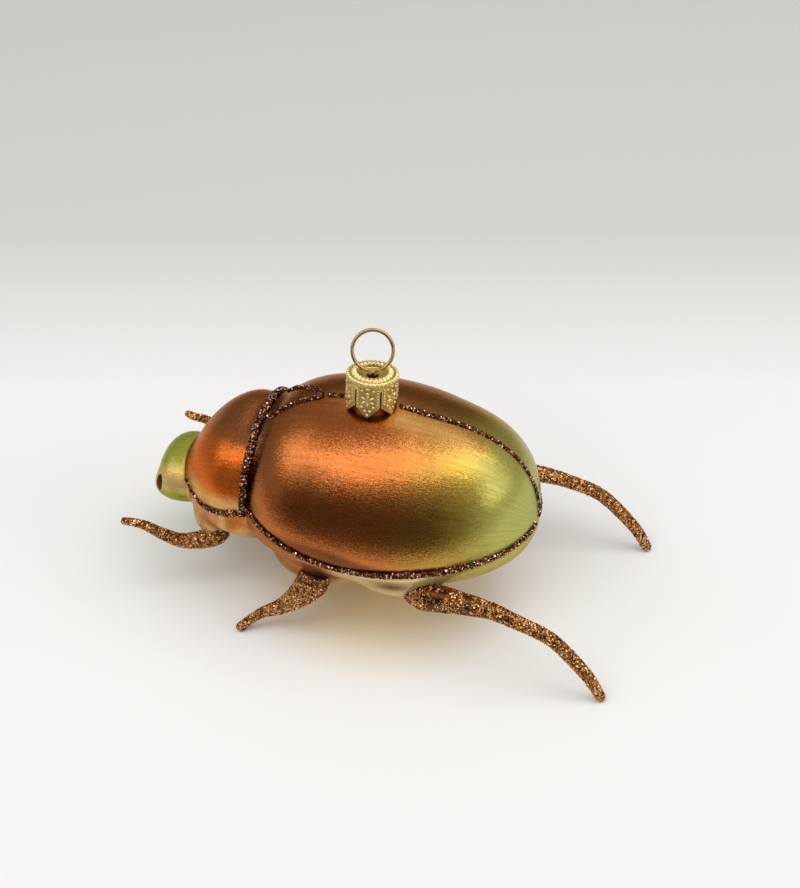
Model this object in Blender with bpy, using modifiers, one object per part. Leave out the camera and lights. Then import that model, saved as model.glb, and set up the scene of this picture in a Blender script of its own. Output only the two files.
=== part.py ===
"""A hanging ornament in the form of a beetle: a hollow glass body, six glitter legs, a cap and a wire ring.

The beetle's head points along -Y, its left side is +X, and its feet stand on the plane z = 0.
Lengths in the tables are millimetres, and MM turns them into metres.
"""

from math import cos, pi, radians, sin

import bmesh
import bpy
import numpy as np
from mathutils import Matrix, Vector

MM = 0.001
SHARP_EDGE = radians(45.0)

# The hind legs reach further than the fore legs, so the beetle's middle lies this far before the origin.
MIDDLE_Y = -3.78

# The glass body is a blend of egg-shaped lobes. Each one has a centre (x, y, z), its reach to the side,
# front, rear, top and bottom, and how square it is: around the body, towards the front and the rear.
LOBES = {
    "wing_cases": ((0, 0, 28.5), (31.0, 33.0, 43.4, 29.7, 10.0), (2.0, 2.7, 2.1)),
    "rump": ((0, 16, 33), (24.5, 22.0, 27.2, 23.1, 10.0), (2.0, 2.0, 2.1)),
    "belly": ((0, 0, 26.5), (29.6, 28.5, 43.2, 5.0, 11.2), (2.2, 2.3, 2.1)),
    "shield": ((0, -34.5, 26.2), (20.6, 17.2, 14.0, 21.4, 8.0), (2.7, 1.75, 3.0)),
    "saddle": ((0, -27, 30), (18.6, 9.0, 9.0, 20.0, 5.0), (2.4, 2.0, 2.0)),
    "head": ((0, -52, 24.1), (11.9, 7.4, 12.0, 9.0, 5.6), (2.0, 2.45, 2.2)),
    "thorax": ((0, -9, 22), (26.3, 18.0, 20.0, 10.0, 12.0), (2.6, 2.3, 2.2)),
    "breast": ((0, -36, 22), (14.0, 14.5, 16.0, 8.0, 9.5), (2.2, 2.0, 2.2)),
}
# Lobes that come in pairs, given for the left side, with how softly each one runs into the body.
PAIRED_LOBES = {
    "fore_hip": ((10.5, -39.8, 21.2), (7.4, 6.8, 6.0, 6.0, 6.6), (2.0, 2.0, 2.0), 2.0),
    "breast_side": ((12.0, -31.6, 23.8), (7.6, 6.0, 10.0, 4.5, 6.2), (2.0, 2.0, 2.0), 1.0),
    "hind_hip": ((20.8, 12.0, 21.0), (6.9, 9.5, 9.0, 8.0, 5.0), (2.0, 2.0, 2.0), 6.0),
    "eye": ((7.4, -56.2, 24.8), (2.6, 2.4, 2.6, 2.9, 2.9), (2.0, 2.0, 2.0), 2.0),
}
LOBE_BLEND = 1.5
SPINE_FRONT = np.array([0.0, -50.0, 24.5])
SPINE_REAR = np.array([0.0, 30.0, 28.5])
RAY_REACH = 60.0
RAY_STEPS = 120
RAY_HALVINGS = 14

GLASS_WALL = 2.2
FITTING_GAP = 0.5
OUTER_SEGMENTS, OUTER_RINGS = 32, 46
INNER_SEGMENTS, INNER_RINGS = 18, 32

# The neck tube and the cap share one axis, which leans a little towards the beetle's right.
CAP_BASE = Vector((1.0, -0.6, 57.4))
CAP_RADIUS = 6.4
CAP_LEAN = radians(8.0)
NECK_RADIUS = 5.0
NECK_BORE_RADIUS = 4.1
NECK_TOP = 7.6
NECK_ROOT = -6.0
BORE_BOTTOM = -10.0
NECK_SEGMENTS = 24
CAP_WALL = 0.35
CAP_STEPS = 36
CAP_PETALS = 6
PETAL_TURN = radians(6.8)
PETAL_POINT = 2.6
SLIT_TOP = 7.2
SLIT_WIDTH = 0.45
PETAL_CUT_DEPTH = 4.0
# Radius and height of the cap's outer side, from the petal tips over the shoulder to the hole in its dish.
CAP_PROFILE = ((CAP_RADIUS, 0.0), (CAP_RADIUS, 7.9), (6.55, 8.5), (6.2, 9.15), (5.4, 9.2), (4.8, 9.75),
               (3.8, 9.75), (3.1, 8.75), (1.5, 8.6))
# How far the beads stand out on some rows of the profile, numbered from the petal tips.
BEADED_ROWS = {2: 0.14, 3: 0.18, 5: 0.12, 6: 0.12}

RING_RADIUS = 5.15
WIRE_RADIUS = 0.47
WIRE_SPREAD = 0.63
RING_RIGHT = Vector((-0.284, 0.959, 0.0)).normalized()
RING_UP = Vector((-0.597, -0.177, 0.783)).normalized()
RING_LOWEST = 9.9
RING_OPENING = radians(14.0)
RING_STEPS = 28
# One wire leg below the ring: how far it spreads from the cap's axis, and its height from the ring's bottom.
WIRE_LEG = ((WIRE_SPREAD, -0.9), (WIRE_SPREAD, -2.2), (1.2, -4.0), (2.2, -7.5), (3.0, -11.5))

# Legs of the left side: x, y, z and radius along the middle line, from the root inside the body to the tip.
LEGS = {
    "fore_leg": ((15.2, -37.6, 20.4, 2.2), (15.6, -38.2, 18.2, 2.6), (16.2, -40.0, 16.6, 2.6),
                 (17.2, -43.6, 15.3, 2.25), (18.7, -48.0, 15.3, 1.8), (20.4, -52.5, 18.0, 1.45),
                 (22.1, -57.0, 21.4, 1.1), (23.7, -61.4, 22.9, 0.85), (24.0, -62.3, 23.1, 0.5)),
    "mid_leg": ((24.6, -8.6, 19.5, 3.9), (25.2, -9.4, 16.2, 4.1), (25.9, -11.6, 12.9, 3.5),
                (26.6, -14.6, 9.6, 2.6), (27.4, -18.0, 7.0, 1.9), (28.8, -22.0, 5.4, 1.35),
                (30.2, -25.0, 3.4, 1.1), (31.4, -27.4, 1.2, 1.15), (32.3, -29.2, -1.2, 1.15)),
    "hind_leg": ((25.7, 18.2, 19.8, 2.9), (25.9, 20.0, 19.9, 3.6), (26.4, 23.5, 20.3, 3.5),
                 (27.2, 30.5, 21.0, 2.8), (28.0, 38.5, 21.2, 2.1), (28.8, 46.0, 19.7, 1.75),
                 (29.2, 53.8, 17.2, 1.65), (29.5, 60.0, 12.0, 1.6),
                 (29.7, 65.0, 6.3, 1.45), (29.8, 68.0, 1.3, 1.2), (29.9, 69.3, -1.2, 1.15)),
}
# The right fore leg is bent up further. It is given here as if it were on the left.
RIGHT_FORE_LEG = ((12.5, -37.6, 18.6, 2.3), (14.6, -39.6, 19.2, 2.3), (16.0, -42.2, 20.8, 2.0),
                  (16.8, -46.0, 23.4, 1.6), (17.4, -50.5, 26.1, 1.3), (18.4, -55.0, 26.7, 1.05),
                  (19.4, -58.4, 26.1, 0.95), (20.0, -60.2, 26.1, 0.85), (20.3, -61.0, 26.1, 0.5))
LEG_STEPS_PER_POINT = 2

# Raised lines of glitter lie on the seams of the glass.
GLITTER_RADIUS = 0.75
THIN_GLITTER_RADIUS = 0.6
THICK_GLITTER_RADIUS = 1.05
GLITTER_LIFT = 0.1
GROOVE_GLITTER_LIFT = 0.8
SEAM_HEIGHT = 28.5
# Seams run round the body at the heights in these tables, which are given by bearing in degrees from the tail.
SEAM_LINE = ((0, 29.4), (15, 29.8), (35, 29.4), (50, 28.7), (65, 28.1), (75, 27.6), (85, 27.4), (93, 27.5),
             (102, 28.2), (112, 29.4), (122, 30.8), (132, 31.9), (142, 32.6))
RIM_LINE = ((78, 30.1), (86, 29.5), (104, 28.9))
SUTURE_CENTRE = (0.0, 10.0, SEAM_HEIGHT)
SHIELD_REAR_CENTRE = (0.0, -29.4, 29.0)
SHIELD_RIM_Y = -36.0
SCUTELLUM_LINE = ((4.0, -27.1), (2.3, -20.0), (0.3, -13.8), (-4.6, -19.5), (-8.6, -26.0))


def lobe_distance(points, centre, reach, squareness):
    """How far each point lies outside one lobe, seen from its centre, and negative inside it."""
    x, y, z = (points[..., axis] - centre[axis] for axis in range(3))
    side, front, rear, top, bottom = reach
    around, to_front, to_rear = squareness
    length = np.where(y < 0, front, rear)
    power = np.where(y < 0, to_front, to_rear)
    height = np.where(z > 0, top, bottom)
    section = (np.abs(x / side) ** around + np.abs(z / height) ** around) ** (1 / around)
    size = (section ** power + np.abs(y / length) ** power) ** (1 / power)
    return np.sqrt(x * x + y * y + z * z) * (1 - 1 / np.maximum(size, 1e-6))


def soft_union(first, second, blend):
    """The smaller of two distances, rounded where they meet."""
    share = np.clip(0.5 + 0.5 * (second - first) / blend, 0, 1)
    return second * (1 - share) + first * share - blend * share * (1 - share)


def body_distance(points):
    """About how far each point lies outside the glass body."""
    lobes = list(LOBES.values())
    distance = lobe_distance(points, *lobes[0])
    for lobe in lobes[1:]:
        distance = soft_union(distance, lobe_distance(points, *lobe), LOBE_BLEND)
    mirrored = points.copy()
    mirrored[..., 0] = np.abs(mirrored[..., 0])
    for *lobe, blend in PAIRED_LOBES.values():
        distance = soft_union(distance, lobe_distance(mirrored, *lobe), blend)
    return distance


def surface_points(starts, directions, offset=0.0):
    """Where rays from inside the body leave it, or leave the form that is larger by the offset."""
    inner = np.zeros(len(starts))
    outer = np.full(len(starts), RAY_REACH)
    found = np.zeros(len(starts), bool)
    for step in range(RAY_STEPS, 0, -1):
        length = RAY_REACH * (step - 1) / RAY_STEPS
        hit = (body_distance(starts + directions * length) < offset) & ~found
        inner[hit] = length
        outer[hit] = length + RAY_REACH / RAY_STEPS
        found |= hit
    for _ in range(RAY_HALVINGS):
        middle = (inner + outer) / 2
        inside = body_distance(starts + directions * middle[:, None]) < offset
        inner = np.where(inside, middle, inner)
        outer = np.where(inside, outer, middle)
    return starts + directions * ((inner + outer) / 2)[:, None]


def smooth_path(points, steps):
    """Points on a smooth curve through the given ones, with any number of values to a point."""
    knots = np.array(points, float)
    knots = np.vstack([2 * knots[0] - knots[1], knots, 2 * knots[-1] - knots[-2]])
    path = []
    for a, b, c, d in zip(knots, knots[1:], knots[2:], knots[3:]):
        for t in np.arange(steps) / steps:
            path.append(b + (c - a) * t / 2 + (2 * a - 5 * b + 4 * c - d) * t * t / 2
                        + (3 * b - 3 * c + d - a) * t ** 3 / 2)
    path.append(knots[-2])
    return np.array(path)


def make_collection(name):
    collection = bpy.data.collections.new(name)
    bpy.context.scene.collection.children.link(collection)
    return collection


def make_material(name, colour, metallic, roughness):
    material = bpy.data.materials.new(name)
    material.use_nodes = True
    shader = material.node_tree.nodes["Principled BSDF"]
    shader.inputs["Base Color"].default_value = (*colour, 1.0)
    shader.inputs["Metallic"].default_value = metallic
    shader.inputs["Roughness"].default_value = roughness
    material.diffuse_color = (*colour, 1.0)
    return material


def add_object(name, data, collection, parent, material=None):
    thing = bpy.data.objects.new(name, data)
    collection.objects.link(thing)
    thing.parent = parent
    if material:
        data.materials.append(material)
    return thing


def mark_as_cutter(thing):
    thing.hide_render = True
    thing.display_type = "WIRE"


def finish_mesh(bm, name):
    """Turn the bmesh, in millimetres, into a mesh in metres, shaded smooth."""
    bmesh.ops.scale(bm, vec=(MM, MM, MM), verts=bm.verts)
    bmesh.ops.recalc_face_normals(bm, faces=bm.faces)
    mesh = bpy.data.meshes.new(name)
    bm.to_mesh(mesh)
    bm.free()
    mesh.shade_smooth()
    mesh.set_sharp_from_angle(angle=SHARP_EDGE)
    return mesh


def combine(thing, operation, other):
    modifier = thing.modifiers.new(other.name, "BOOLEAN")
    modifier.operation = operation
    modifier.object = other


def body_form(name, segments, rings, offset):
    """A sphere with its poles at the head and the tail, drawn out onto the body's form."""
    bm = bmesh.new()
    bmesh.ops.create_uvsphere(bm, u_segments=segments, v_segments=rings, radius=1.0)
    bmesh.ops.rotate(bm, verts=bm.verts, matrix=Matrix.Rotation(-pi / 2, 3, "X"))
    sphere = np.array([vertex.co for vertex in bm.verts])
    along = np.clip(sphere[:, 1], -1, 1)
    starts = (SPINE_FRONT + SPINE_REAR) / 2 + along[:, None] * (SPINE_REAR - SPINE_FRONT) / 2
    tilt = along ** 3 * pi / 2
    turn = np.arctan2(sphere[:, 0], sphere[:, 2])
    directions = np.stack([np.cos(tilt) * np.sin(turn), np.sin(tilt), np.cos(tilt) * np.cos(turn)], axis=-1)
    for vertex, point in zip(bm.verts, surface_points(starts, directions, offset)):
        vertex.co = point
    return finish_mesh(bm, name)


def cylinder_on_cap_axis(name, radius, bottom, top):
    """A round bar along the cap's axis, its ends given as heights above the petal tips."""
    bm = bmesh.new()
    bmesh.ops.create_cone(bm, segments=NECK_SEGMENTS, radius1=radius, radius2=radius, depth=top - bottom,
                          cap_ends=True)
    bmesh.ops.translate(bm, verts=bm.verts, vec=(0, 0, (top + bottom) / 2))
    return finish_mesh(bm, name)


def place_on_cap_axis(thing):
    thing.location = CAP_BASE * MM
    thing.rotation_euler = (0, -CAP_LEAN, 0)


def build_glass_body(parts, cutters, parent, material):
    """The blown glass: the body's form, hollowed to an even wall, with the open neck tube on its back."""
    body_mesh = body_form("glass_body", OUTER_SEGMENTS, OUTER_RINGS, 0.0)
    body = add_object("glass_body", body_mesh, parts, parent, material)
    neck_mesh = cylinder_on_cap_axis("neck", NECK_RADIUS, NECK_ROOT, NECK_TOP)
    neck = add_object("neck", neck_mesh, cutters, parent)
    bore_mesh = cylinder_on_cap_axis("neck_bore", NECK_BORE_RADIUS, BORE_BOTTOM, NECK_TOP + 1.0)
    bore = add_object("neck_bore", bore_mesh, cutters, parent)
    cavity_mesh = body_form("cavity", INNER_SEGMENTS, INNER_RINGS, -GLASS_WALL)
    cavity = add_object("cavity", cavity_mesh, cutters, parent)
    for cutter in (neck, bore, cavity):
        mark_as_cutter(cutter)
    place_on_cap_axis(neck)
    place_on_cap_axis(bore)
    combine(body, "UNION", neck)
    combine(body, "DIFFERENCE", cavity)
    combine(body, "DIFFERENCE", bore)


def tube_mesh(name, path, radii, sides_level):
    """A closed round tube along a path in millimetres, made from a curve with filled caps."""
    curve = bpy.data.curves.new(name, "CURVE")
    curve.dimensions = "3D"
    curve.bevel_depth = MM
    curve.bevel_resolution = sides_level
    curve.use_fill_caps = True
    spline = curve.splines.new("POLY")
    spline.points.add(len(path) - 1)
    for point, place, radius in zip(spline.points, path, radii):
        point.co = (*(MM * value for value in place), 1.0)
        point.radius = radius
    guide = bpy.data.objects.new(name, curve)
    bpy.context.scene.collection.objects.link(guide)
    evaluated = guide.evaluated_get(bpy.context.evaluated_depsgraph_get())
    mesh = bpy.data.meshes.new_from_object(evaluated)
    bpy.data.objects.remove(guide)
    bm = bmesh.new()
    bm.from_mesh(mesh)
    bmesh.ops.remove_doubles(bm, verts=bm.verts, dist=0.01 * MM)
    bmesh.ops.recalc_face_normals(bm, faces=bm.faces)
    bm.to_mesh(mesh)
    bm.free()
    mesh.shade_smooth()
    mesh.set_sharp_from_angle(angle=SHARP_EDGE)
    return mesh


def leg_routes():
    """Each leg's name and its route, mirrored for the right side."""
    for leg, route in LEGS.items():
        mirrored = RIGHT_FORE_LEG if leg == "fore_leg" else route
        yield f"{leg}_left", route
        yield f"{leg}_right", [(-x, y, z, radius) for x, y, z, radius in mirrored]


def build_legs(parts, parent, material, clearance, floor):
    """Tapered legs whose roots follow the glass, and whose soles are flat on the plane z = 0."""
    for name, route in leg_routes():
        path = smooth_path(route, LEG_STEPS_PER_POINT)
        thing = add_object(name, tube_mesh(name, path[:, :3], path[:, 3], 2), parts, parent, material)
        combine(thing, "DIFFERENCE", clearance)
        combine(thing, "DIFFERENCE", floor)


def petal_gap():
    """The cut between two petals: a narrow slit that opens into a wedge between their points."""
    half_wedge = CAP_RADIUS * sin(pi / CAP_PETALS) + 0.6
    half_slit = SLIT_WIDTH / 2
    outline = ((-half_wedge, -1.0), (half_wedge, -1.0), (half_slit, PETAL_POINT),
               (half_slit, SLIT_TOP), (-half_slit, SLIT_TOP), (-half_slit, PETAL_POINT))
    bm = bmesh.new()
    face = bm.faces.new([bm.verts.new((across, -NECK_RADIUS, height)) for across, height in outline])
    reached = bmesh.ops.extrude_face_region(bm, geom=[face])["geom"]
    moved = [item for item in reached if isinstance(item, bmesh.types.BMVert)]
    bmesh.ops.translate(bm, verts=moved, vec=(0, -PETAL_CUT_DEPTH, 0))
    return finish_mesh(bm, "petal_gap")


def cap_shell():
    """The cap's outer skin: its profile turned about its axis, with beads pressed into the shoulder."""
    bm = bmesh.new()
    rows = []
    for row, (radius, height) in enumerate(CAP_PROFILE):
        ring = []
        for step in range(CAP_STEPS):
            angle = 2 * pi * step / CAP_STEPS
            bead = BEADED_ROWS.get(row, 0.0) * (1 if step % 2 else -1)
            reach = radius + bead
            ring.append(bm.verts.new((reach * cos(angle), reach * sin(angle), height + bead)))
        rows.append(ring)
    for lower, upper in zip(rows, rows[1:]):
        for step in range(CAP_STEPS):
            after = (step + 1) % CAP_STEPS
            bm.faces.new((lower[step], lower[after], upper[after], upper[step]))
    return finish_mesh(bm, "cap")


def build_cap(parts, cutters, parent, material, clearance):
    """Thin pressed metal with a beaded shoulder, a dished top and six pointed petals."""
    cap = add_object("cap", cap_shell(), parts, parent, material)
    place_on_cap_axis(cap)
    thickness = cap.modifiers.new("sheet", "SOLIDIFY")
    thickness.thickness = CAP_WALL * MM
    thickness.offset = -1.0
    gap = petal_gap()
    for petal in range(CAP_PETALS):
        cutter = add_object(f"petal_gap_{petal}", gap, cutters, parent)
        cutter.location = CAP_BASE * MM
        turn = Matrix.Rotation(PETAL_TURN + 2 * pi * petal / CAP_PETALS, 4, "Z")
        cutter.rotation_euler = (Matrix.Rotation(-CAP_LEAN, 4, "Y") @ turn).to_euler()
        mark_as_cutter(cutter)
        combine(cap, "DIFFERENCE", cutter)
    combine(cap, "DIFFERENCE", clearance)


def wire_route():
    """The spring wire: up out of the neck, once round the ring, and down into the neck again."""
    axis = Vector((-sin(CAP_LEAN), 0, cos(CAP_LEAN)))
    lowest = CAP_BASE + axis * RING_LOWEST
    centre = lowest + RING_UP * RING_RADIUS
    ring = []
    for step in range(RING_STEPS + 1):
        angle = -pi / 2 + RING_OPENING + (2 * pi - 2 * RING_OPENING) * step / RING_STEPS
        ring.append(centre + RING_RADIUS * (cos(angle) * RING_RIGHT + sin(angle) * RING_UP))

    def strand(side):
        """One leg of the wire, from the ring down into the neck."""
        return [lowest + axis * drop + RING_RIGHT * side * spread for spread, drop in WIRE_LEG]

    return list(reversed(strand(1))) + ring + strand(-1)


def build_hanger(parts, parent, material):
    route = wire_route()
    mesh = tube_mesh("wire_hanger", route, [WIRE_RADIUS] * len(route), 1)
    add_object("wire_hanger", mesh, parts, parent, material)


def line_height(bearings, line):
    """Height of a seam at each bearing, given in radians."""
    return np.interp(np.degrees(np.abs(bearings)), *zip(*line))


def level_rays(angles, centre_y, line):
    """Level rays from the beetle's middle plane to a seam that runs round the body."""
    starts = np.stack([np.zeros_like(angles), np.full_like(angles, centre_y), line_height(angles, line)], axis=-1)
    return starts, np.stack([np.sin(angles), np.cos(angles), np.zeros_like(angles)], axis=-1)


def suture_rays(angles):
    """Rays to the middle line of the back, fanned from inside the body towards the tail."""
    starts = np.tile(np.array(SUTURE_CENTRE), (len(angles), 1))
    return starts, np.stack([np.zeros_like(angles), np.sin(angles), np.cos(angles)], axis=-1)


def shield_rear_rays(angles):
    """Rays to the seam between the shield and the wing cases."""
    starts = np.tile(np.array(SHIELD_REAR_CENTRE), (len(angles), 1))
    return starts, np.stack([np.sin(angles), np.zeros_like(angles), np.cos(angles)], axis=-1)


def scutellum_rays():
    """Rays up to the two lines that meet in a point behind the shield."""
    route = smooth_path(SCUTELLUM_LINE, 4)
    starts = np.column_stack([route, np.full(len(route), SEAM_HEIGHT)])
    return starts, np.tile(np.array([0.0, 0.0, 1.0]), (len(route), 1))


def fan(first, last, count):
    """Evenly spread angles, given in degrees, as radians."""
    return np.radians(np.linspace(first, last, count))


def glitter_lines():
    """Each raised line by name: the rays to its path, its radius and how far it is lifted off the glass."""
    suture_front = suture_rays(fan(-37.5, -32.5, 4))
    suture_rear = suture_rays(fan(-6.0, 84.0, 22))
    pronotum = shield_rear_rays(fan(-86.0, 86.0, 23))
    lines = {
        "suture_glitter_front": (suture_front, GLITTER_RADIUS, GLITTER_LIFT),
        "suture_glitter_rear": (suture_rear, GLITTER_RADIUS, GLITTER_LIFT),
        "pronotum_glitter": (pronotum, THICK_GLITTER_RADIUS, GROOVE_GLITTER_LIFT),
        "scutellum_glitter": (scutellum_rays(), THIN_GLITTER_RADIUS, GLITTER_LIFT),
    }
    for side_name, side in (("left", 1), ("right", -1)):
        edge = level_rays(side * fan(2.4, 142.0, 20), 0.0, SEAM_LINE)
        rim = level_rays(side * fan(78.0, 143.0, 14), SHIELD_RIM_Y, RIM_LINE)
        lines[f"edge_glitter_{side_name}"] = (edge, GLITTER_RADIUS, GLITTER_LIFT)
        lines[f"pronotum_rim_glitter_{side_name}"] = (rim, THIN_GLITTER_RADIUS, GLITTER_LIFT)
    return lines


def build_glitter(parts, parent, material, clearance):
    for name, (rays, radius, lift) in glitter_lines().items():
        path = surface_points(*rays, lift)
        mesh = tube_mesh(name, path, [radius] * len(path), 1)
        combine(add_object(name, mesh, parts, parent, material), "DIFFERENCE", clearance)


def build_clearance(cutters, parent):
    """The body's form, grown evenly, which trims the roots of all that sits on the glass."""
    mesh = body_form("body_clearance", OUTER_SEGMENTS, OUTER_RINGS, 0.0)
    clearance = add_object("body_clearance", mesh, cutters, parent)
    growth = clearance.modifiers.new("growth", "DISPLACE")
    growth.mid_level = 0.0
    growth.strength = FITTING_GAP * MM
    mark_as_cutter(clearance)
    return clearance


def build_floor_cutter(cutters, parent):
    """A block below the plane that the feet stand on."""
    bm = bmesh.new()
    bmesh.ops.create_cube(bm, size=200.0)
    bmesh.ops.translate(bm, verts=bm.verts, vec=(0, 0, -100.0))
    floor = add_object("below_the_feet", finish_mesh(bm, "below_the_feet"), cutters, parent)
    mark_as_cutter(floor)
    return floor


def main():
    for thing in list(bpy.data.objects):
        bpy.data.objects.remove(thing)
    parts = make_collection("glass_beetle_ornament")
    cutters = make_collection("cutters")
    glass = make_material("lacquered_glass", (0.42, 0.17, 0.05), 0.6, 0.32)
    copper = make_material("copper_glitter", (0.36, 0.17, 0.06), 0.7, 0.5)
    plum = make_material("plum_glitter", (0.10, 0.05, 0.06), 0.5, 0.5)
    gold = make_material("gold_cap", (0.83, 0.62, 0.22), 1.0, 0.28)
    wire = make_material("antique_gold_wire", (0.50, 0.38, 0.17), 1.0, 0.35)

    frame = bpy.data.objects.new("beetle_middle", None)
    parts.objects.link(frame)
    frame.location = (0, MIDDLE_Y * MM, 0)

    clearance = build_clearance(cutters, frame)
    floor = build_floor_cutter(cutters, frame)

    build_glass_body(parts, cutters, frame, glass)
    build_legs(parts, frame, copper, clearance, floor)
    build_cap(parts, cutters, frame, gold, clearance)
    build_hanger(parts, frame, wire)
    build_glitter(parts, frame, plum, clearance)


main()
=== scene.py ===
"""The looks of the glass beetle ornament: lacquered glass, glitter, a pressed gold cap and a pale studio.

Lengths in the tables are millimetres in the beetle's own frame: head towards -Y, its left side +X, up +Z,
and y = 0 at the beetle's middle. MM turns them into metres. The studio's tables are in metres.
"""

from math import cos, pi, radians, sin

import bmesh
import bpy
import numpy as np
from mathutils import Matrix, Vector


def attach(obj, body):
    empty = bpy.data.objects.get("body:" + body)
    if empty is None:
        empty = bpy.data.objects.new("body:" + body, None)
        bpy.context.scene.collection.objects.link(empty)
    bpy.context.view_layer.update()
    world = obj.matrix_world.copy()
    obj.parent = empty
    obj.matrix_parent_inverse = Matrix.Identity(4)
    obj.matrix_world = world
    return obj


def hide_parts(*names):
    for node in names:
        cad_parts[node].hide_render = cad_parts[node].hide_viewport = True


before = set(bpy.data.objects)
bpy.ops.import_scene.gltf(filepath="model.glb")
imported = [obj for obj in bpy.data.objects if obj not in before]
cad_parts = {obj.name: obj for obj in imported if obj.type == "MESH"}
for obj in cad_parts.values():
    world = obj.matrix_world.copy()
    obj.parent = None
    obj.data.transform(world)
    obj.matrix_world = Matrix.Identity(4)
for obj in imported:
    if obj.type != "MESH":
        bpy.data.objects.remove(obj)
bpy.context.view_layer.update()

MM = 0.001
# Where the beetle's own frame starts along the shared frame's Y.
MIDDLE_Y = -3.78

# The view, solved from the photograph: where the camera stands in the shared frame, and its axes.
CAMERA_PLACE = Vector((394.85, 119.80, 373.39))
CAMERA_FORWARD = Vector((-0.75038, -0.22228, -0.62251))
CAMERA_RIGHT = Vector((-0.28402, 0.95882, 0.0))
CAMERA_UP = Vector((-0.59688, -0.17680, 0.78261))
CAMERA_LENS = 83.51
CAMERA_SENSOR = 36.0

# The glass body is a blend of egg-shaped lobes. Each one has a centre (x, y, z), its reach to the side,
# front, rear, top and bottom, and how square it is: around the body, towards the front and the rear.
LOBES = {
    "wing_cases": ((0, 0, 28.5), (31.0, 33.0, 43.4, 29.7, 10.0), (2.0, 2.7, 2.1)),
    "rump": ((0, 16, 33), (24.5, 22.0, 27.2, 23.1, 10.0), (2.0, 2.0, 2.1)),
    "belly": ((0, 0, 26.5), (29.6, 28.5, 43.2, 5.0, 11.2), (2.2, 2.3, 2.1)),
    "shield": ((0, -34.5, 26.2), (20.6, 17.2, 14.0, 21.4, 8.0), (2.7, 1.75, 3.0)),
    "saddle": ((0, -27, 30), (18.6, 9.0, 9.0, 20.0, 5.0), (2.4, 2.0, 2.0)),
    "head": ((0, -52, 24.1), (11.9, 7.4, 12.0, 9.0, 5.6), (2.0, 2.45, 2.2)),
    "thorax": ((0, -9, 22), (26.3, 18.0, 20.0, 10.0, 12.0), (2.6, 2.3, 2.2)),
    "breast": ((0, -36, 22), (14.0, 14.5, 16.0, 8.0, 9.5), (2.2, 2.0, 2.2)),
}
# Lobes that come in pairs, given for the left side, with how softly each one runs into the body.
PAIRED_LOBES = {
    "fore_hip": ((10.5, -39.8, 21.2), (7.4, 6.8, 6.0, 6.0, 6.6), (2.0, 2.0, 2.0), 2.0),
    "breast_side": ((12.0, -31.6, 23.8), (7.6, 6.0, 10.0, 4.5, 6.2), (2.0, 2.0, 2.0), 1.0),
    "hind_hip": ((20.8, 12.0, 21.0), (6.9, 9.5, 9.0, 8.0, 5.0), (2.0, 2.0, 2.0), 6.0),
    "eye": ((7.4, -56.2, 24.8), (2.6, 2.4, 2.6, 2.9, 2.9), (2.0, 2.0, 2.0), 2.0),
}
LOBE_BLEND = 1.5

# The skin of the body is found along rays from a spine inside it.
SPINE_FRONT = np.array([0.0, -50.0, 24.5])
SPINE_REAR = np.array([0.0, 30.0, 28.5])
RAY_REACH = 60.0
RAY_STEPS = 80
RAY_HALVINGS = 14
BODY_SEGMENTS, BODY_RINGS = 240, 360
# These turn the angle about the spine, and the place along the body, into coordinates for the lacquer.
SKIN_RADIUS = 26.0
TAIL_LENGTH = 44.0

# The seams of the glass, where the lines of glitter lie. Two of them run round the body at the heights in
# these tables, which are given by bearing in degrees from the tail.
SEAM_HEIGHT = 28.5
SEAM_LINE = ((0, 29.4), (15, 29.8), (35, 29.4), (50, 28.7), (65, 28.1), (75, 27.6), (85, 27.4), (93, 27.5),
             (102, 28.2), (112, 29.4), (122, 30.8), (132, 31.9), (142, 32.6))
RIM_LINE = ((78, 30.1), (86, 29.5), (104, 28.9))
SUTURE_CENTRE = (0.0, 10.0, SEAM_HEIGHT)
SHIELD_REAR_Y = -29.4
SHIELD_REAR_CENTRE = (0.0, SHIELD_REAR_Y, 29.0)
SHIELD_RIM_Y = -36.0
SCUTELLUM_LINE = ((4.0, -27.1), (2.3, -20.0), (0.3, -13.8), (-4.6, -19.5), (-8.6, -26.0))
EDGE_GROOVE = 0.45
EDGE_GROOVE_WIDTH = 1.3
# The edge line swells at one place: by how much, how far along the line and over what share of it.
EDGE_SWELL, EDGE_SWELL_PLACE, EDGE_SWELL_SHARE = 0.36, 0.40, 0.22

# The neck tube and the cap share one axis, which leans a little towards the beetle's right.
CAP_BASE = Vector((1.0, -0.6, 57.4))
CAP_LEAN = radians(8.0)
CAP_RADIUS = 6.4
NECK_RADIUS = 5.0
NECK_BORE_RADIUS = 4.1
NECK_TOP = 7.6
NECK_ROOT = -6.0
NECK_LIP = 0.5
NECK_SEGMENTS = 48

CAP_WALL = 0.35
CAP_PETALS = 6
PETAL_TURN = radians(6.8)
PETAL_POINT = 2.6
PETAL_FLARE = 0.25
PETAL_COLUMNS = 54
SLIT_TOP = 7.2
SLIT_WIDTH = 0.45
WALL_ROWS = 52
CAP_WELD = 0.004
CAP_SHOULDER = ((6.4, 7.0), (6.4, 8.0), (6.4, 8.7), (6.25, 9.2), (5.9, 9.5), (5.45, 9.6), (5.0, 9.8),
                (4.4, 9.9), (3.85, 9.65), (3.5, 9.05), (2.9, 8.78), (2.2, 8.7), (1.5, 8.7))
# Each ring of beads: the radius and height of its middle, half its width, its relief and its count of beads.
BEAD_RINGS = (((6.2, 9.2), 0.52, 0.42, 36), ((4.7, 9.85), 0.72, 0.38, 26))
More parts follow.
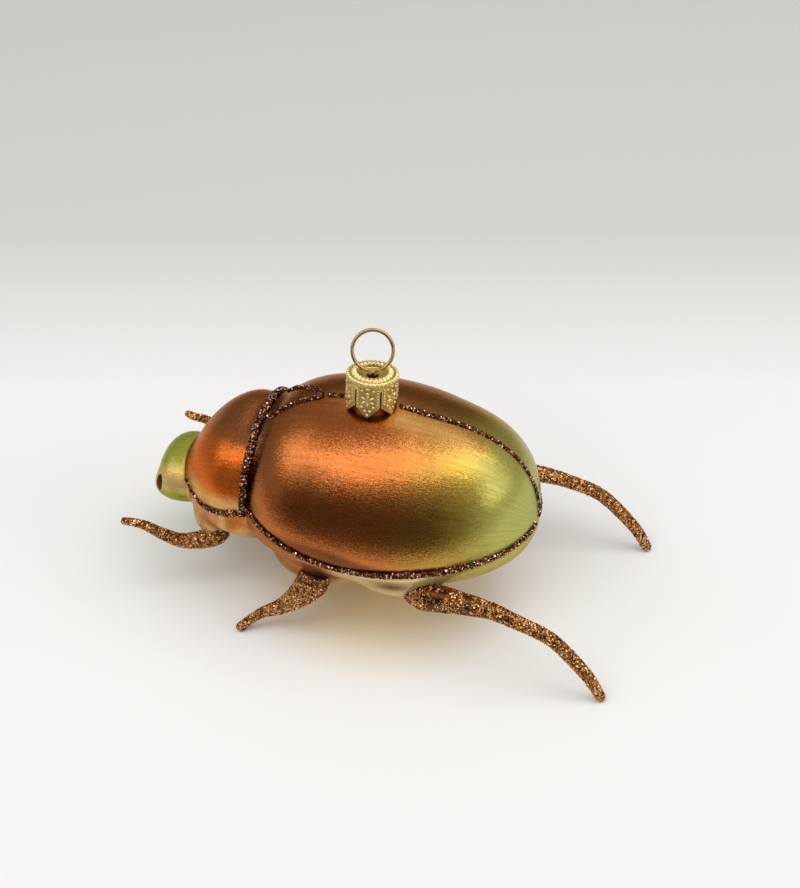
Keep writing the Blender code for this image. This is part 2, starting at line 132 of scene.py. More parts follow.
# The pattern that is pressed into a petal, up to this height. Its dots are given by place across and up, half
# width, half height and share of the relief; those with a place across stand on both sides.
PRESSED_TOP = 8.3
PRESSED_RELIEF = 0.36
STAR_HEIGHT = 4.8
STAR_REACH = 1.12
STAR_RAYS = 6
STAR_RAY_SIZE = (0.72, 0.30)
PRESSED_DOTS = ((0.0, STAR_HEIGHT, 0.25, 0.25, 0.7), (0.0, 8.1, 0.55, 0.36, 1.0),
                (0.0, 6.85, 0.42, 0.28, 1.0), (1.45, 7.5, 0.38, 0.34, 0.9), (1.45, 2.9, 0.38, 0.36, 1.0),
                (0.6, 1.85, 0.36, 0.34, 1.0), (0.0, 0.85, 0.26, 0.28, 1.0))
DASH_ACROSS = 2.45
DASH_HEIGHTS = (3.6, 4.4, 5.2, 6.0, 6.8, 7.6)
DASH_SIZE = (0.42, 0.20)
DASH_TURN = 0.5
DASH_SHARE = 0.8

RING_RADIUS = 5.15
WIRE_RADIUS = 0.47
WIRE_SPREAD = 0.63
WIRE_SIDES = 16
RING_RIGHT = Vector((-0.284, 0.959, 0.0)).normalized()
RING_UP = Vector((-0.597, -0.177, 0.783)).normalized()
RING_LOWEST = 9.9
RING_OPENING = radians(14.0)
RING_POINTS = 97
# Each leg of the wire: how far to the side and how far along the cap's axis from the ring's lowest point.
WIRE_LEG = ((WIRE_SPREAD, -0.9), (WIRE_SPREAD, -2.2), (1.2, -4.0), (2.2, -7.5), (3.0, -11.5))

# Legs of the left side: x, y, z and radius along the middle line, from the root inside the body to the tip.
LEGS = {
    "fore_leg": ((15.2, -37.6, 20.4, 2.2), (15.6, -38.2, 18.2, 2.6), (16.2, -40.0, 16.6, 2.6),
                 (17.2, -43.6, 15.3, 2.25), (18.7, -48.0, 15.3, 1.8), (20.4, -52.5, 18.0, 1.45),
                 (22.1, -57.0, 21.4, 1.1), (23.7, -61.4, 22.9, 0.85)),
    "mid_leg": ((24.6, -8.6, 19.5, 3.9), (25.2, -9.4, 16.2, 4.1), (25.9, -11.6, 12.9, 3.5),
                (26.6, -14.6, 9.6, 2.6), (27.4, -18.0, 7.0, 1.9), (28.8, -22.0, 5.4, 1.35),
                (30.2, -25.0, 3.4, 1.1), (31.4, -27.4, 1.2, 1.15)),
    "hind_leg": ((25.7, 18.2, 19.8, 2.9), (25.9, 20.0, 19.9, 3.6), (26.4, 23.5, 20.3, 3.5),
                 (27.2, 30.5, 21.0, 2.8), (28.0, 38.5, 21.2, 2.1), (28.8, 46.0, 19.7, 1.75),
                 (29.2, 53.8, 17.2, 1.65), (29.5, 60.0, 12.0, 1.6),
                 (29.7, 65.0, 6.3, 1.45), (29.8, 68.0, 1.3, 1.2)),
}
# The right fore leg is bent up further. It is given here as if it were on the left.
RIGHT_FORE_LEG = ((12.5, -37.6, 18.6, 2.3), (14.6, -39.6, 19.2, 2.3), (16.0, -42.2, 20.8, 2.0),
                  (16.8, -46.0, 23.4, 1.6), (17.4, -50.5, 26.1, 1.3), (18.4, -55.0, 26.7, 1.05),
                  (19.4, -58.4, 26.1, 0.95), (20.0, -60.2, 26.1, 0.85))

# The glitter in each slot: flakes to a square millimetre, their size, how far they tip, how lumpy the glue
# under them is, and how many sides it has.
GLITTER = {"leg_glitter": (15.0, 0.24, 0.45, 0.08, 20), "seam_glitter": (16.0, 0.24, 0.65, 0.5, 14)}
FLAKE_CORNERS = 6
# Nothing of the glitter reaches lower than this, just above the floor.
LOWEST = 0.02

# The painted eyes: the centre of the left one, and how far it reaches along each axis.
EYE_CENTRE = (10.2, -56.8, 26.3)
EYE_SIZE = (2.5, 1.05, 2.3)

# The lacquer's patterns. Clouds and grains have a scale by the metre. Brush strokes have one by the
# millimetre, after the share of their place along the body that draws them out, and before their detail and
# roughness.
CLOUD_SCALE = 90.0
GRAIN_SCALE = 5200.0
STROKES = (0.045, 1.1, 5.0, 0.65)
FINE_STROKES = (0.2, 3.2, 2.0, 0.5)
STREAK_STRENGTH = 0.62
SPECKLE_STRENGTH = 0.16
# How metallic the lacquer is on the tail, the head and the underside, and on the shield. Elsewhere it is all
# metal.
PALE_METAL = 0.50
SHIELD_METAL = 0.70
WING_COAT = 0.28
LACQUER_ROUGHNESS = (0.21, 0.29)
FACET_TILT = 0.15

# The wing cases run through these shades of lacquer from the shield to the tail.
WING_SHADES = ((0.0, (0.59, 0.150, 0.018)), (0.22, (0.58, 0.170, 0.020)), (0.42, (0.53, 0.245, 0.028)),
               (0.62, (0.55, 0.375, 0.038)), (0.76, (0.50, 0.470, 0.095)), (1.0, (0.42, 0.500, 0.105)))
# The colours of the other paints and finishes.
PAINTS = {
    # Painted shade, on the far side along the middle line and at the crease behind the shield.
    "brown": (0.180, 0.075, 0.032),
    # A painted highlight beside the middle line on the near side.
    "strip": (0.80, 0.40, 0.10),
    "shield": (0.68, 0.125, 0.001),
    "shield_top": (0.300, 0.080, 0.018),
    "shield_hem": (0.74, 0.44, 0.15),
    "head": (0.36, 0.43, 0.050),
    "head_side": (0.78, 0.56, 0.19),
    "head_rear": (0.92, 0.48, 0.09),
    "belly": (0.86, 0.67, 0.34),
    "amber": (0.56, 0.150, 0.002),
    "belly_front": (0.44, 0.130, 0.022),
    "belly_green": (0.56, 0.50, 0.12),
    "belly_brown": (0.120, 0.045, 0.012),
    "fold": (0.75, 0.50, 0.20),
    "streak": (0.62, 0.50, 0.40),
    "speckle": (0.9, 0.70, 0.35),
    # Painted shade along the seams.
    "rim": (0.070, 0.018, 0.006),
    "front_line": (0.050, 0.016, 0.008),
    "neck": (0.30, 0.14, 0.05),
    "eye": (0.045, 0.018, 0.010),
    "lacquer_sheen": (0.80, 0.58, 0.36),
    "gold": (0.96, 0.70, 0.22),
    "bright_gold": (1.0, 0.86, 0.46),
    # Painted shade in the hollows of the cap.
    "gold_hollow_shade": (0.46, 0.28, 0.05),
    "wire": (0.40, 0.27, 0.10),
    "worn_wire": (0.62, 0.46, 0.20),
    "floor": (0.86, 0.86, 0.855),
    "floor_patch": (0.88, 0.88, 0.875),
    # Painted shade towards the floor's far side.
    "far_floor_shade": (0.66, 0.652, 0.63),
    # A painted warm glow on the floor under the belly.
    "painted_warm_glow": (0.88, 0.73, 0.47),
    "surroundings": (0.80, 0.80, 0.79),
}
# The dark glue of each glitter, and the shades of its flakes from the dullest to the brightest.
COPPER_GLUE = (0.075, 0.028, 0.010)
COPPER_FLAKES = ((0.0, (0.22, 0.070, 0.014)), (0.3, (0.60, 0.235, 0.050)), (0.62, (0.85, 0.400, 0.11)),
                 (0.88, (0.95, 0.62, 0.30)), (1.0, (0.98, 0.87, 0.66)))
PLUM_GLUE = (0.050, 0.016, 0.006)
PLUM_FLAKES = ((0.0, (0.070, 0.020, 0.008)), (0.32, (0.24, 0.075, 0.032)), (0.58, (0.52, 0.22, 0.11)),
               (0.82, (0.88, 0.56, 0.40)), (1.0, (0.98, 0.88, 0.82)))
GLITTER_ROUGHNESS = 0.28

# The studio, in metres. The floor has painted shade towards its far side, and a painted warm glow in a pool
# under the belly. Each fades between two distances, from the middle of the floor and from the middle of the
# pool.
FLOOR_SIZE = (5.0, 5.0)
FAR_SIDE = (-0.959, -0.284, 0.0)
FAR_FADE = (0.085, 0.17)
PAINTED_GLOW_CENTRE = (0.008, 0.000, 0.0)
PAINTED_GLOW_FADE = (0.008, 0.036)
# Dark cards that shape the reflections: place, size, turn in degrees and shade.
CARDS = {
    "front_card": ((0.70, 0.05, 0.31), (1.9, 0.62), (90, 0, 90), 0.10),
    "table_card": ((0.395, 0.05, 0.002), (0.56, 1.90), (0, 0, 0), 0.10),
    "rear_card": ((-0.80, 0.0, 0.22), (2.2, 0.44), (90, 0, 90), 0.20),
}
# Soft lights: place, size, power in watts, colour and roll in degrees. All of them face AIM.
AIM = Vector((0, 0, 0.03))
WARM_WHITE = (1.0, 0.99, 0.975)
LIGHTS = {
    "overhead": ((0.18, 0.25, 1.30), (2.60, 0.74), 11.2, WARM_WHITE, -20),
    "overhead_rear": ((-0.44, 0.25, 1.25), (2.60, 0.52), 2.4, WARM_WHITE, -20),
    "tail_light": ((0.0, 1.15, 0.62), (0.90, 0.60), 2.6, WARM_WHITE, 0),
    "head_light": ((0.25, -0.86, 0.88), (0.70, 0.60), 1.9, WARM_WHITE, 0),
}
FLOOR_FILL = ((0.50, -0.12, 0.50), (0.70, 0.70), 0.42, (1.0, 0.995, 0.985), 0)
FLOOR_FILL_SPREAD = radians(90)
SURROUNDINGS_STRENGTH = 0.42


def lobe_distance(points, centre, reach, squareness):
    """How far each point lies outside one lobe, seen from its centre, and negative inside it."""
    x, y, z = (points[..., axis] - centre[axis] for axis in range(3))
    side, front, rear, top, bottom = reach
    around, to_front, to_rear = squareness
    length = np.where(y < 0, front, rear)
    power = np.where(y < 0, to_front, to_rear)
    height = np.where(z > 0, top, bottom)
    section = (np.abs(x / side) ** around + np.abs(z / height) ** around) ** (1 / around)
    size = (section ** power + np.abs(y / length) ** power) ** (1 / power)
    return np.sqrt(x * x + y * y + z * z) * (1 - 1 / np.maximum(size, 1e-6))


def soft_union(first, second, blend):
    """The smaller of two distances, rounded where they meet."""
    share = np.clip(0.5 + 0.5 * (second - first) / blend, 0, 1)
    return second * (1 - share) + first * share - blend * share * (1 - share)


def body_distance(points):
    """About how far each point lies outside the glass body."""
    lobes = list(LOBES.values())
    distance = lobe_distance(points, *lobes[0])
    for lobe in lobes[1:]:
        distance = soft_union(distance, lobe_distance(points, *lobe), LOBE_BLEND)
    mirrored = points.copy()
    mirrored[..., 0] = np.abs(mirrored[..., 0])
    for *lobe, blend in PAIRED_LOBES.values():
        distance = soft_union(distance, lobe_distance(mirrored, *lobe), blend)
    return distance


def surface_points(starts, directions, offset=0.0):
    """Where rays from inside the body leave it, or leave the form that is larger by the offset."""
    inner = np.zeros(len(starts))
    outer = np.full(len(starts), RAY_REACH / RAY_STEPS)
    waiting = np.arange(len(starts))
    for step in range(RAY_STEPS, 0, -1):
        length = RAY_REACH * (step - 1) / RAY_STEPS
        hit = body_distance(starts[waiting] + directions[waiting] * length) < offset
        inner[waiting[hit]] = length
        outer[waiting[hit]] = length + RAY_REACH / RAY_STEPS
        waiting = waiting[~hit]
        if not len(waiting):
            break
    for _ in range(RAY_HALVINGS):
        middle = (inner + outer) / 2
        inside = body_distance(starts + directions * middle[:, None]) < offset
        inner = np.where(inside, middle, inner)
        outer = np.where(inside, outer, middle)
    return starts + directions * ((inner + outer) / 2)[:, None]


def smooth_path(points, steps):
    """Points on a smooth curve through the given ones, with any number of values to a point."""
    knots = np.array(points, float)
    knots = np.vstack([2 * knots[0] - knots[1], knots, 2 * knots[-1] - knots[-2]])
    path = []
    for a, b, c, d in zip(knots, knots[1:], knots[2:], knots[3:]):
        for t in np.arange(steps) / steps:
            path.append(b + (c - a) * t / 2 + (2 * a - 5 * b + 4 * c - d) * t * t / 2
                        + (3 * b - 3 * c + d - a) * t ** 3 / 2)
    path.append(knots[-2])
    return np.array(path)


def ramp(values, start, end):
    """0 at the start, 1 at the end, and smooth between. The end may be the lower one."""
    share = np.clip((values - start) / (end - start), 0, 1)
    return share * share * (3 - 2 * share)


def bell(values, centre, width, power=2):
    """1 at the centre and falling off on both sides, with a flatter top for a higher power."""
    return np.exp(-(np.abs(values - centre) / width) ** power)


# Materials are made of nodes by these short helpers. A value that is a socket is linked, any other is set.

def node(tree, kind, inputs=None, **settings):
    made = tree.nodes.new(kind)
    for name, value in settings.items():
        setattr(made, name, value)
    for name, value in (inputs or {}).items():
        if isinstance(value, bpy.types.NodeSocket):
            tree.links.new(value, made.inputs[name])
        else:
            made.inputs[name].default_value = value
    return made


def colour(red, green, blue):
    return (red, green, blue, 1.0)


def paint_shade(name):
    return colour(*PAINTS[name])


def mix_colours(tree, factor, first, second, blend="MIX"):
    """Indices 0, 6 and 7 are the colour sockets of this node: the factor and its two colours."""
    made = node(tree, "ShaderNodeMix", {0: factor, 6: first, 7: second}, data_type="RGBA", blend_type=blend)
    return made.outputs[2]


def maths(tree, operation, first, second=0.0, clamp=False):
    inputs = {0: first, 1: second}
    return node(tree, "ShaderNodeMath", inputs, operation=operation, use_clamp=clamp).outputs[0]


def vector_maths(tree, operation, first, second):
    return node(tree, "ShaderNodeVectorMath", {0: first, 1: second}, operation=operation).outputs[0]


def vector_length(tree, vector):
    return node(tree, "ShaderNodeVectorMath", {0: vector}, operation="LENGTH").outputs["Value"]


def attribute(tree, name):
    return node(tree, "ShaderNodeAttribute", attribute_name=name).outputs["Fac"]


def object_place(tree):
    return node(tree, "ShaderNodeTexCoord").outputs["Object"]


def noise(tree, place, scale, detail, roughness=0.5):
    inputs = {"Vector": place, "Scale": scale, "Detail": detail, "Roughness": roughness}
    return node(tree, "ShaderNodeTexNoise", inputs).outputs["Fac"]


def rescale(tree, value, from_low, from_high, to_low, to_high):
    inputs = {0: value, 1: from_low, 2: from_high, 3: to_low, 4: to_high}
    return node(tree, "ShaderNodeMapRange", inputs, clamp=True).outputs[0]


def colour_ramp(tree, value, stops):
    made = node(tree, "ShaderNodeValToRGB", {0: value})
    elements = made.color_ramp.elements
    while len(elements) < len(stops):
        elements.new(1.0)
    for element, (place, shade) in zip(elements, stops):
        element.position = place
        element.color = colour(*shade)
    return made.outputs[0]


def new_material(name, **values):
    """A Principled material, its tree and its shader. Fixed values go on the shader's own sockets."""
    material = bpy.data.materials.new(name)
    material.use_nodes = True
    shader = material.node_tree.nodes["Principled BSDF"]
    for key, value in values.items():
        shader.inputs[key.replace("_", " ")].default_value = value
    return material, material.node_tree, shader


def drive(tree, shader, **sockets):
    """Links sockets to the shader's inputs of the given names."""
    for key, socket in sockets.items():
        tree.links.new(socket, shader.inputs[key.replace("_", " ")])


def bump(tree, height, strength, distance, **inputs):
    """A bumped normal. The distance is in metres."""
    values = {"Height": height, "Strength": strength, "Distance": distance, **inputs}
    return node(tree, "ShaderNodeBump", values).outputs[0]


def lacquer_material():
    """Satin metallic lacquer: airbrushed colours, fine lengthwise brush strokes and a frosty sparkle."""
    material, tree, shader = new_material("lacquered_glass", Coat_Roughness=0.22, Specular_IOR_Level=0.3,
                                          Specular_Tint=paint_shade("lacquer_sheen"))
    place = object_place(tree)
    wing_part = attribute(tree, "wing")
    shield_part = attribute(tree, "shield")

    def brush_strokes(share, scale, detail, roughness):
        """Noise on the skin, drawn out lengthwise."""
        lengthwise = maths(tree, "MULTIPLY", attribute(tree, "along"), share)
        skin_place = node(tree, "ShaderNodeCombineXYZ", {0: attribute(tree, "around"), 1: lengthwise})
        return noise(tree, skin_place.outputs[0], scale, detail, roughness)

    def uneven(pattern, amount):
        """The pattern, centred on 0 and scaled."""
        return maths(tree, "MULTIPLY", maths(tree, "SUBTRACT", pattern, 0.5), amount)

    def mask(name, softness=0.25):
        """A painted mask with an uneven, airbrushed edge."""
        return maths(tree, "ADD", attribute(tree, name), uneven(cloud, softness), clamp=True)

    def painted(base, **factors):
        """The base under layers of paint, given as each paint's name and the factor that lays it on."""
        for name, factor in factors.items():
            base = mix_colours(tree, factor, base, paint_shade(name))
        return base

    cloud = noise(tree, place, CLOUD_SCALE, 3.0)
    strokes = brush_strokes(*STROKES)
    fine_strokes = brush_strokes(*FINE_STROKES)
    grains = node(tree, "ShaderNodeTexVoronoi", {"Vector": place, "Scale": GRAIN_SCALE}).outputs["Color"]

    tail = maths(tree, "ADD", attribute(tree, "tail"), uneven(strokes, 0.35), clamp=True)
    # Painted shade: the brown layer darkens the far side along the middle line and the crease behind the
    # shield.
    brown = maths(tree, "MULTIPLY", mask("brown"), rescale(tree, tail, 0.45, 0.85, 1.0, 0.40))
    amber = maths(tree, "MULTIPLY", attribute(tree, "amber"), rescale(tree, cloud, 0.42, 0.60, 0.60, 1.0))
    # The bright strip beside the middle line on the near side is a painted highlight.
    wing = painted(colour_ramp(tree, tail, WING_SHADES), brown=brown, strip=mask("strip"))
    shield = painted(paint_shade("shield"), shield_top=mask("shield_top"), shield_hem=mask("shield_hem"))
    head = painted(paint_shade("head"), head_side=mask("head_side"), head_rear=mask("head_rear"))
    under = painted(paint_shade("belly"), amber=amber, belly_front=mask("belly_front"),
                    belly_green=mask("belly_green"), belly_brown=mask("belly_brown"),
                    fold=attribute(tree, "fold"))

    paint = mix_colours(tree, wing_part, under, wing)
    paint = mix_colours(tree, shield_part, paint, shield)
    paint = mix_colours(tree, attribute(tree, "head"), paint, head)
    streaks = rescale(tree, strokes, 0.35, 0.65, 0.0, STREAK_STRENGTH)
    speckles = rescale(tree, grains, 0.4, 1.0, 0.0, SPECKLE_STRENGTH)
    paint = mix_colours(tree, streaks, paint, paint_shade("streak"), "MULTIPLY")
    # The rim layer is painted shade above the edge seams and behind the shield.
    paint = painted(paint, speckle=speckles, rim=mask("rim", 0.1), front_line=mask("front_line", 0.6),
                    neck=attribute(tree, "neck"), eye=eye_mask(tree, place))

    pale_tail = maths(tree, "MULTIPLY", wing_part, rescale(tree, tail, 0.5, 0.9, 0.0, 1.0))
    neither_part = maths(tree, "SUBTRACT", 1.0, maths(tree, "ADD", wing_part, shield_part))
    pale = maths(tree, "MAXIMUM", pale_tail, neither_part)
    metal = maths(tree, "MULTIPLY", rescale(tree, pale, 0.0, 1.0, 1.0, PALE_METAL),
                  rescale(tree, shield_part, 0.0, 1.0, 1.0, SHIELD_METAL))
    gloss = maths(tree, "ADD", rescale(tree, strokes, 0.3, 0.7, *LACQUER_ROUGHNESS),
                  rescale(tree, cloud, 0.3, 0.7, -0.03, 0.03))

    # Every grain of the lacquer is a facet with a tilt of its own.
    tilts = {0: vector_maths(tree, "SUBTRACT", grains, (0.5, 0.5, 0.5)), "Scale": FACET_TILT}
    facets = node(tree, "ShaderNodeVectorMath", tilts, operation="SCALE").outputs[0]
    tilted = vector_maths(tree, "ADD", node(tree, "ShaderNodeNewGeometry").outputs["Normal"], facets)
    normal = node(tree, "ShaderNodeVectorMath", {0: tilted}, operation="NORMALIZE").outputs[0]
    drive(tree, shader, Base_Color=paint, Metallic=metal, Roughness=gloss,
          Coat_Weight=maths(tree, "MULTIPLY", wing_part, WING_COAT),
          Normal=bump(tree, fine_strokes, 0.35, 0.00012, Normal=normal))
    return material


def eye_mask(tree, place):
    """1 inside the painted oval eyes, one on each side of the head."""
    parts = node(tree, "ShaderNodeSeparateXYZ", {0: place}).outputs
    across = maths(tree, "ABSOLUTE", parts[0])
    folded = node(tree, "ShaderNodeCombineXYZ", {0: across, 1: parts[1], 2: parts[2]}).outputs[0]
    offset = vector_maths(tree, "SUBTRACT", folded, tuple(MM * value for value in EYE_CENTRE))
    scaled = vector_maths(tree, "DIVIDE", offset, tuple(MM * value for value in EYE_SIZE))
    return rescale(tree, vector_length(tree, scaled), 0.92, 1.05, 1.0, 0.0)


def glitter_material(name, glue, flakes):
    """Flakes of many shades on a dark glue."""
    material, tree, shader = new_material(name, Metallic=1.0)
    shade = attribute(tree, "shade")
    lumps = noise(tree, object_place(tree), 2200.0, 2.0)
    glue_shade = mix_colours(tree, lumps, colour(*glue), colour(*(value * 2.2 for value in glue)))
    paint = mix_colours(tree, attribute(tree, "flake"), glue_shade, colour_ramp(tree, shade, flakes))
    gloss = maths(tree, "ADD", rescale(tree, shade, 0.5, 1.0, GLITTER_ROUGHNESS, 0.6 * GLITTER_ROUGHNESS),
                  rescale(tree, lumps, 0.3, 0.7, -0.05, 0.05))
    drive(tree, shader, Base_Color=paint, Roughness=gloss, Normal=bump(tree, lumps, 0.5, 0.0002))
    return material


def gold_material():
    """Bright pressed gold, with painted olive-brown shade in its hollows."""
    material, tree, shader = new_material("gold_cap", Metallic=0.75)
    wear = noise(tree, object_place(tree), 900.0, 4.0)
    worn = rescale(tree, wear, 0.35, 0.65, 0.0, 1.0)
    lit = mix_colours(tree, worn, paint_shade("gold"), paint_shade("bright_gold"))
    # Painted shade: flat and hollow parts darken towards olive brown, and the raised relief keeps the lit
    # gold.
    hollow = rescale(tree, attribute(tree, "relief"), 0.0, 0.5, 0.75, 0.0)
    drive(tree, shader, Base_Color=mix_colours(tree, hollow, lit, paint_shade("gold_hollow_shade")),
          Roughness=rescale(tree, wear, 0.3, 0.7, 0.20, 0.34), Normal=bump(tree, wear, 0.2, 0.00008))
    return material


def wire_material():
    """Antique gold wire with brighter worn patches."""
    material, tree, shader = new_material("antique_gold_wire", Metallic=1.0)
    wear = noise(tree, object_place(tree), 500.0, 4.0)
    worn = rescale(tree, wear, 0.35, 0.65, 0.0, 1.0)
    drive(tree, shader, Base_Color=mix_colours(tree, worn, paint_shade("wire"), paint_shade("worn_wire")),
          Roughness=rescale(tree, wear, 0.3, 0.7, 0.24, 0.38), Normal=bump(tree, wear, 0.15, 0.0001))
    return material


def add_piece(name, vertices, faces, material, replaced, attributes=None, face_attributes=None):
    """A mesh piece in the beetle's frame, riding on the object's one body in place of the named CAD node."""
    mesh = bpy.data.meshes.new(name)
    mesh.from_pydata([tuple(MM * value for value in vertex) for vertex in vertices], [], faces)
    mesh.shade_smooth()
    for domain, table in (("POINT", attributes or {}), ("FACE", face_attributes or {})):
        for key, values in table.items():
            layer = mesh.attributes.new(key, "FLOAT", domain)
            layer.data.foreach_set("value", np.asarray(values, np.float32))
    mesh.materials.append(material)
    piece = bpy.data.objects.new(name, mesh)
    bpy.context.scene.collection.objects.link(piece)
    piece.location = (0, MIDDLE_Y * MM, 0)
    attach(piece, "root")
    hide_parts(replaced)
    return piece


def ring_faces(rows, segments, first_index=0, closed=False):
    """Faces between rings of vertices that follow each other, and back to the first one if closed."""
    faces = []
    for row in range(rows if closed else rows - 1):
        low = first_index + row * segments
        high = first_index + ((row + 1) % rows) * segments
        for step in range(segments):
            after = (step + 1) % segments
            faces.append((low + step, low + after, high + after, high + step))
    return faces


def line_height(bearings, line):
    """Height of a seam at each bearing, given in radians."""
    return np.interp(np.degrees(np.abs(bearings)), *zip(*line))


def above_line(points, centre_y, line):
    """How far each point lies above a seam that runs round the body."""
    return points[:, 2] - line_height(np.arctan2(points[:, 0], points[:, 1] - centre_y), line)


def body_masks(points, turn):
    """Where each colour of lacquer lies, from 0 to 1 for every vertex, and where its brush strokes run."""
    x, y, z = points.T
    side = np.abs(x)
    above_seam = above_line(points, 0.0, SEAM_LINE)
    above_rim = above_line(points, SHIELD_RIM_Y, RIM_LINE)
    behind_shield = y - SHIELD_REAR_Y
    before_crease = lobe_distance(points, *LOBES["shield"]) - lobe_distance(points, *LOBES["head"])
    head = ramp(before_crease, -0.15, 0.35) * ramp(y, -38, -44)
    wing = ramp(above_seam, -0.3, 0.3) * ramp(behind_shield, -0.3, 0.3)
    shield = (1 - head) * ramp(above_rim, -0.3, 0.3) * ramp(behind_shield, 0.3, -0.3)
    under = 1 - np.maximum(wing, np.maximum(shield, head))
    # Painted shade: a dark band above the edge seam, tallest near the middle of the body.
    shade_height = 4.6 * bell(y, -4, 14) + 0.6
    edge_shade = 0.72 * ramp(above_seam - shade_height, 0.6, -1.2)
    fold_line = bell(y, -35.4, 1.0) * ramp(y, -25, -30)
    fold_root = ramp(z, 21.5, 18.5) * ramp(y, -24, -28)
    return {
        "around": turn * SKIN_RADIUS,
        "along": y,
        "wing": wing,
        "shield": shield,
        "head": head,
        "tail": np.clip(y / TAIL_LENGTH, 0, 1),
        # Painted shade: darker along the middle line on the far side only, and at the crease behind the
        # shield.
        "brown": np.maximum(0.35 * bell(side, 0, 8.0) * ramp(x, 1, -1), 0.85 * bell(behind_shield, 0, 5.5)),
        # A painted highlight beside the middle line, on the near side only.
        "strip": wing * bell(x, 4.5, 3.2) * ramp(y, 3, 8) * ramp(y, 34, 24),
        # Painted shade above the edge seams and along the crease behind the shield.
        "rim": wing * (edge_shade + 0.75 * bell(behind_shield, 0, 1.6, 1)),
        "shield_top": ramp(z - 0.3 * side, 38, 45),
        "shield_hem": ramp(z, 36.0, 31.5) * ramp(side, 4, 12),
        "head_rear": ramp(y, -52.5, -48.5) * ramp(z, 27, 32),
        "head_side": ramp(side, 6.0, 9.0) * ramp(z, 24.5, 26.5) * ramp(z, 33.0, 29.5),
        "front_line": bell(before_crease, 0, 0.5) * ramp(y, -40, -43) * ramp(z, 26, 29),
        "amber": under * ramp(y, -23.5, -27.0) * ramp(z, 19.0, 25.0),
        "fold": under * np.maximum(fold_line, fold_root),
        "belly_front": under * ramp(y, 0.5, -6.0) * ramp(behind_shield, 0, 3) * ramp(z, 15.0, 19.0),
        "belly_brown": under * np.maximum(bell(y, -5.0, 5.0) * bell(z, 20.0, 2.6),
                                          bell(y, 13.0, 6.0) * bell(z, 23.4, 2.0)),
        "belly_green": under * ramp(y, 18, 30) * ramp(z, 21, 25),
        "neck": np.zeros(len(points)),
    }


def body_points():
    """Vertices of the glass, ring by ring from the head to the tail, and each one's turn about the spine."""
    along = -np.cos(pi * np.arange(1, BODY_RINGS) / BODY_RINGS)
    turn = 2 * pi * (np.arange(BODY_SEGMENTS) + 0.5) / BODY_SEGMENTS - pi
    along = np.append(np.repeat(along, BODY_SEGMENTS), [-1.0, 1.0])
    turn = np.append(np.tile(turn, BODY_RINGS - 1), [0.0, 0.0])
    starts = (SPINE_FRONT + SPINE_REAR) / 2 + along[:, None] * (SPINE_REAR - SPINE_FRONT) / 2
    tilt = along ** 3 * pi / 2
    directions = np.stack([np.cos(tilt) * np.sin(turn), np.sin(tilt), np.cos(tilt) * np.cos(turn)], axis=-1)
    points = surface_points(starts, directions)
    behind = ramp(points[:, 1] - SHIELD_REAR_Y, 0.5, 3.0)
    groove = EDGE_GROOVE * behind * bell(above_line(points, 0.0, SEAM_LINE), 0, EDGE_GROOVE_WIDTH)
    return points - directions * groove[:, None], turn


def neck_points():
    """The open neck tube: up its outside, over the lip and down its bore, and the number of its rings."""
    middle = (NECK_RADIUS + NECK_BORE_RADIUS) / 2
    thick = (NECK_RADIUS - NECK_BORE_RADIUS) / 2
    outline = [(NECK_RADIUS, NECK_ROOT), (NECK_RADIUS, NECK_TOP - NECK_LIP)]
    for angle in np.linspace(0, pi, 7):
        outline.append((middle + thick * cos(angle), NECK_TOP - thick + thick * sin(angle)))
    outline += [(NECK_BORE_RADIUS, NECK_TOP - NECK_LIP), (NECK_BORE_RADIUS, NECK_ROOT)]
    to_axis = Matrix.Rotation(-CAP_LEAN, 3, "Y")
    points = []
    for radius, height in outline:
        for step in range(NECK_SEGMENTS):
            angle = 2 * pi * step / NECK_SEGMENTS
            points.append(CAP_BASE + to_axis @ Vector((radius * cos(angle), radius * sin(angle), height)))
    return np.array(points), len(outline)


def build_body(material):
    """The glass with its neck, and the masks of its lacquer. The two poles come after the rings."""
    points, turn = body_points()
    masks = body_masks(points, turn)
    faces = ring_faces(BODY_RINGS - 1, BODY_SEGMENTS)
    head_pole = len(points) - 2
    tail_pole = len(points) - 1
    last_ring = (BODY_RINGS - 2) * BODY_SEGMENTS
    for step in range(BODY_SEGMENTS):
        after = (step + 1) % BODY_SEGMENTS
        faces.append((head_pole, after, step))
        faces.append((tail_pole, last_ring + step, last_ring + after))
    neck, neck_rings = neck_points()
    faces += ring_faces(neck_rings, NECK_SEGMENTS, len(points), closed=True)
    for name in masks:
        fill = 1.0 if name == "neck" else 0.0
        masks[name] = np.append(masks[name], np.full(len(neck), fill))
    add_piece("lacquered_body", np.vstack([points, neck]), faces, material, "glass_body", masks)


def across_path(path):
    """Two directions across the path at each point, which turn as little as they can."""
    tangents = np.gradient(path, axis=0)
    tangents /= np.linalg.norm(tangents, axis=1)[:, None]
    across = np.cross(tangents[0], (0.0, 0.3, 1.0))
    firsts = []
    for tangent in tangents:
        across = across - tangent * across.dot(tangent)
        across /= np.linalg.norm(across)
        firsts.append(across)
    firsts = np.array(firsts)
    return firsts, np.cross(tangents, firsts)


def round_ends(path, radii, at_start, at_end):
    """Draws the path out by its radius into a round end, where one is asked for."""
    quarter = np.radians([20, 40, 58, 74, 86])
    if at_end:
        ahead = path[-1] - path[-2]
        ahead /= np.linalg.norm(ahead)
        path = np.vstack([path, path[-1] + radii[-1] * np.sin(quarter)[:, None] * ahead])
        radii = np.append(radii, radii[-1] * np.cos(quarter))
    if at_start:
        path, radii = round_ends(path[::-1], radii[::-1], False, True)
        path, radii = path[::-1], radii[::-1]
    return path, radii


def spokes(first, second, angles):
    """Directions at the given angles in the plane of each pair of directions."""
    return first[:, None] * np.cos(angles)[None, :, None] + second[:, None] * np.sin(angles)[None, :, None]


